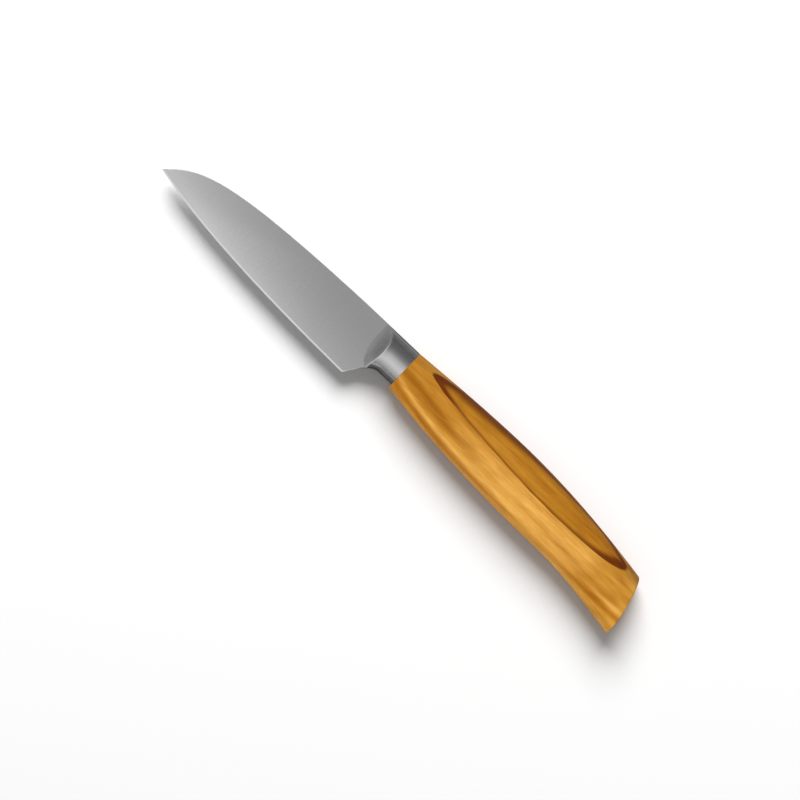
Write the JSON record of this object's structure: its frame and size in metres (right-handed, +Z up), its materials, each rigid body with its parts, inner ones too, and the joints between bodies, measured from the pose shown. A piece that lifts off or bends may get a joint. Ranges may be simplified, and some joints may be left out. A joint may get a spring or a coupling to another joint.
{
  "type": "paring knife",
  "caption": "Small fixed-blade kitchen knife: taper-ground steel blade with a hidden tang, fitted steel bolster and a curved one-piece olive-wood handle.",
  "frame": {"origin": "middle of the knife's footprint, on the plane that its lower cheek rests on", "axes": "+X from the tip to the butt, +Y from the cutting edge to the spine, +Z up through the thickness"},
  "size_m": [0.2004, 0.0248, 0.0136],
  "materials": {
    "blade_steel": "fine satin, ground across the blade",
    "bolster_steel": "polished collar with a satin hollow ramp",
    "braze_metal": "silver braze, as cast in the joint",
    "olive_wood": "oiled, fine figure with a dark heartwood line",
    "cured_epoxy": "clear amber, hidden in the mortise"
  },
  "bodies": {
    "root": {"blade": "blade_steel", "bolster": "bolster_steel", "bolster_braze": "braze_metal", "handle": "olive_wood", "tang_adhesive": "cured_epoxy"}
  },
  "joints": []
}
